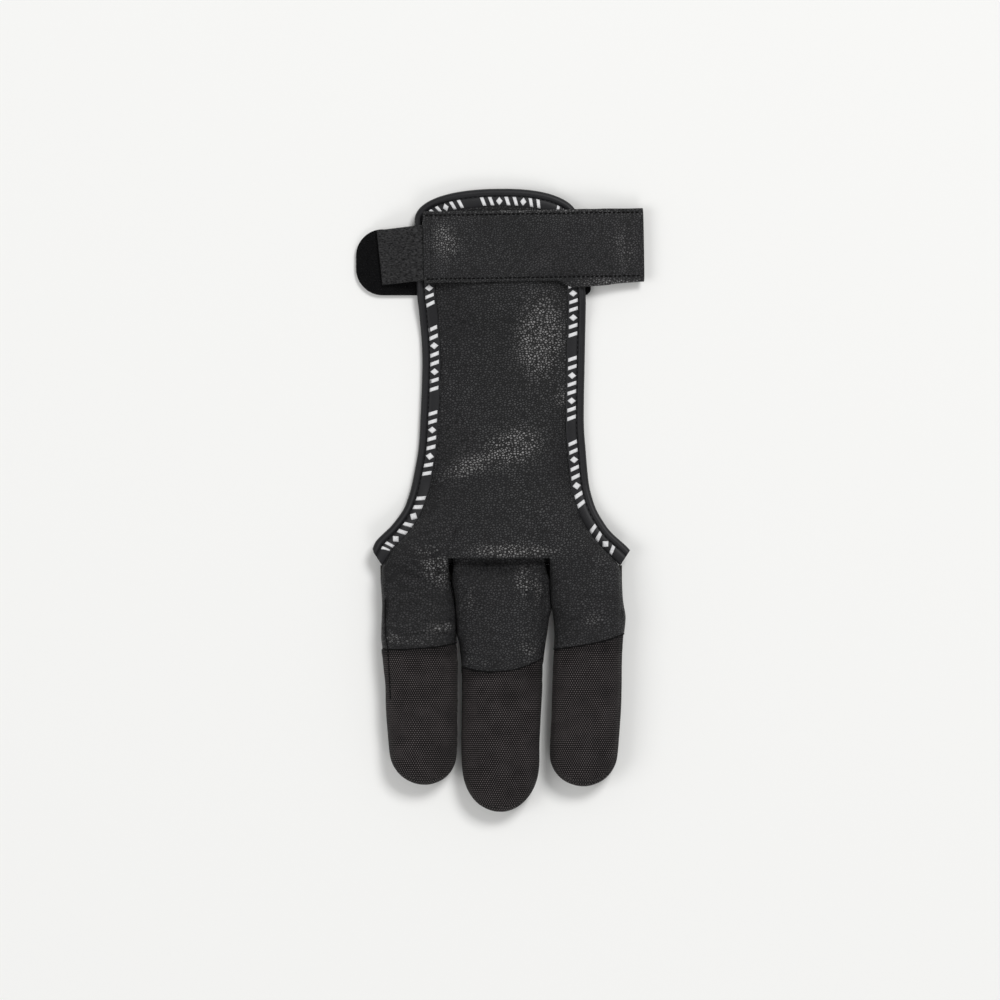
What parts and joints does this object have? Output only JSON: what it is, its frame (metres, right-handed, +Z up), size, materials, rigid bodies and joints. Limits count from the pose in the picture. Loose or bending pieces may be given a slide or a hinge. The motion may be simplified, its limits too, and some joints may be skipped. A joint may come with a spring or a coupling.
{
  "type": "archery glove",
  "caption": "Three-finger shooting glove with a long leather back, woven fingertips, bound edges and a hook-and-loop wrist strap.",
  "frame": {"origin": "middle of the footprint, on the surface the glove lies on", "axes": "+Y from the fingertips to the wrist end, +X from the index finger to the ring finger, +Z up out of the back of the hand"},
  "size_m": [0.098, 0.2118, 0.0124],
  "materials": {
    "glove_leather": "soft black grain leather, semi-matt",
    "stretch_weave": "black plain-weave nylon, matt",
    "binding_tape": "black folded satin tape with plain white marks",
    "hook_fabric": "black hook tape, matt",
    "loop_fabric": "black loop tape, matt",
    "ribbed_elastic": "black ribbed elastic"
  },
  "bodies": {
    "root": {"back_panel": "glove_leather", "middle_finger_back": "glove_leather", "palm_panel": "glove_leather", "index_tip": "stretch_weave", "middle_tip": "stretch_weave", "ring_tip": "stretch_weave", "edge_binding": "binding_tape", "palm_binding": "binding_tape", "wrist_strap": "glove_leather", "strap_backing": "loop_fabric", "elastic_band": "ribbed_elastic", "hook_strip": "hook_fabric"}
  },
  "joints": []
}
